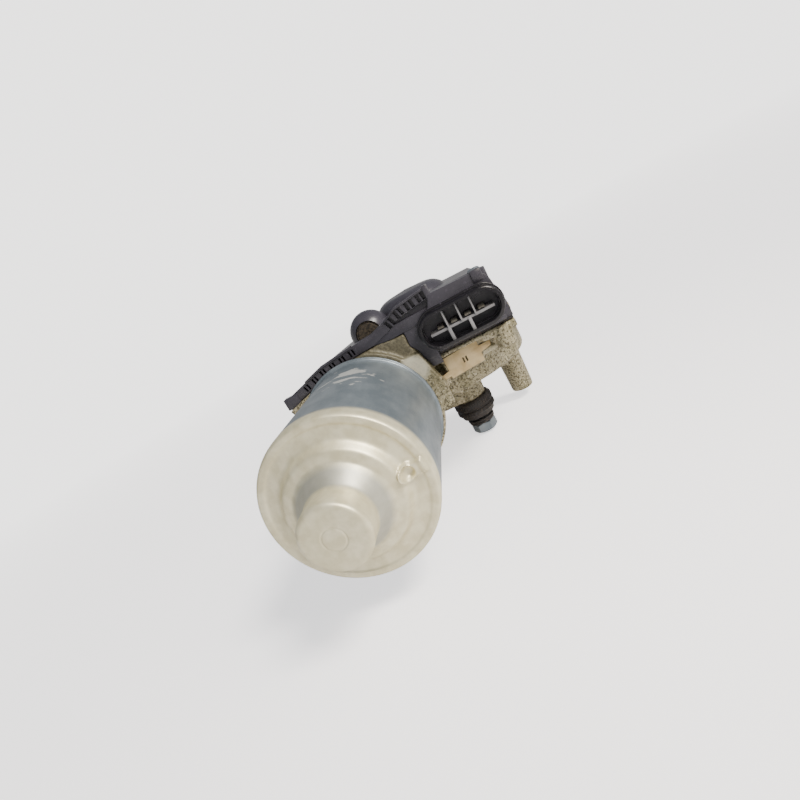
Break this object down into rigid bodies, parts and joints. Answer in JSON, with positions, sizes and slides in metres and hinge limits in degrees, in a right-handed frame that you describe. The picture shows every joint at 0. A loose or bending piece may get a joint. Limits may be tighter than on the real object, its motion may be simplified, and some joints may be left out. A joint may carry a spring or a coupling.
{
  "type": "windscreen wiper motor",
  "caption": "Brushed DC wiper motor with drawn steel can, worm gearbox in a cast housing, plastic electronics cover with plug socket, and a driven output shaft.",
  "frame": {"origin": "centre of the output shaft's free end face", "axes": "Z along the output shaft, +Z towards the plastic cover; Y along the motor's axis, with the motor can towards -Y"},
  "size_m": [0.1133, 0.1876, 0.0918],
  "materials": {
    "zinc_plated_steel": "zinc plated, satin",
    "die_cast_aluminium": "rough as cast",
    "black_plastic": "moulded, satin",
    "grey_plastic": "moulded",
    "white_acetal": "moulded",
    "black_rubber": "matt",
    "bright_steel": "ground",
    "spring_steel": "satin",
    "tinned_bronze": "tin plated",
    "sintered_bronze": "porous",
    "brass": "satin",
    "copper": "enamelled",
    "lamination_steel": "stamped",
    "ferrite": "matt, pressed",
    "carbon": "matt",
    "circuit_board": "solder resist",
    "vent_membrane": "matt"
  },
  "bodies": {
    "motor_body": {"bearing_outer_ring": "bright_steel", "brush_box_1": "brass", "brush_box_2": "brass", "brush_box_3": "brass", "brush_plate": "grey_plastic", "brush_spring_1": "spring_steel", "brush_spring_2": "spring_steel", "brush_spring_3": "spring_steel", "can_seal": "black_rubber", "choke_1": "copper", "choke_2": "copper", "circuit_board": "circuit_board", "cover_gasket": "black_rubber", "cover_screw_1": "zinc_plated_steel", "cover_screw_2": "zinc_plated_steel", "cover_screw_3": "zinc_plated_steel", "cover_screw_4": "zinc_plated_steel", "cover_screw_5": "zinc_plated_steel", "driver_chip": "black_plastic", "dust_cap": "black_rubber", "gear_cover": "black_plastic", "gear_housing": "die_cast_aluminium", "ground_clip": "tinned_bronze", "lower_output_bush": "sintered_bronze", "magnet_left": "ferrite", "magnet_right": "ferrite", "magnet_spring_bottom": "spring_steel", "magnet_spring_top": "spring_steel", "motor_can": "zinc_plated_steel", "motor_capacitor": "black_plastic", "position_sensor": "black_plastic", "rear_bush": "sintered_bronze", "relay": "black_plastic", "terminal_1": "tinned_bronze", "terminal_2": "tinned_bronze", "terminal_3": "tinned_bronze", "terminal_4": "tinned_bronze", "thrust_ball": "bright_steel", "thrust_screw": "zinc_plated_steel", "upper_output_bush": "sintered_bronze", "vent_plug": "vent_membrane"},
    "output": {"output_shaft": "bright_steel", "worm_wheel": "white_acetal", "wheel_hub": "bright_steel", "position_magnet": "ferrite", "shaft_circlip": "spring_steel", "thrust_washer": "sintered_bronze", "arm_nut": "zinc_plated_steel", "spacer_ring": "black_rubber"},
    "armature": {"armature_shaft": "bright_steel", "armature_core": "lamination_steel", "armature_winding": "copper", "commutator": "copper", "bearing_inner_ring": "bright_steel"},
    "brush_1_body": {"brush_1": "carbon"},
    "brush_2_body": {"brush_2": "carbon"},
    "brush_3_body": {"brush_3": "carbon"}
  },
  "joints": [
    {"name": "output_spin", "type": "hinge", "parent": "motor_body", "child": "output", "pos_m": [0, 0, 0.03], "axis": [0, 0, 1], "continuous": true},
    {"name": "armature_spin", "type": "hinge", "parent": "motor_body", "child": "armature", "pos_m": [-0.041, -0.05, 0.046], "axis": [0, 1, 0], "continuous": true},
    {"name": "brush_1_slide", "type": "slide", "parent": "motor_body", "child": "brush_1_body", "axis": [1, 0, 0], "range_m": [0, 0.003], "stiffness_N_per_m": 400, "springref_m": -0.002, "deforming": ["brush_spring_1"]},
    {"name": "brush_2_slide", "type": "slide", "parent": "motor_body", "child": "brush_2_body", "axis": [-1, 0, 0], "range_m": [0, 0.003], "stiffness_N_per_m": 400, "springref_m": -0.002, "deforming": ["brush_spring_2"]},
    {"name": "brush_3_slide", "type": "slide", "parent": "motor_body", "child": "brush_3_body", "axis": [0.3746, 0, -0.9272], "range_m": [0, 0.003], "stiffness_N_per_m": 400, "springref_m": -0.002, "deforming": ["brush_spring_3"]}
  ],
  "couplings": [
    {"joint": "armature_spin", "follows": "output_spin", "ratio": 60}
  ]
}
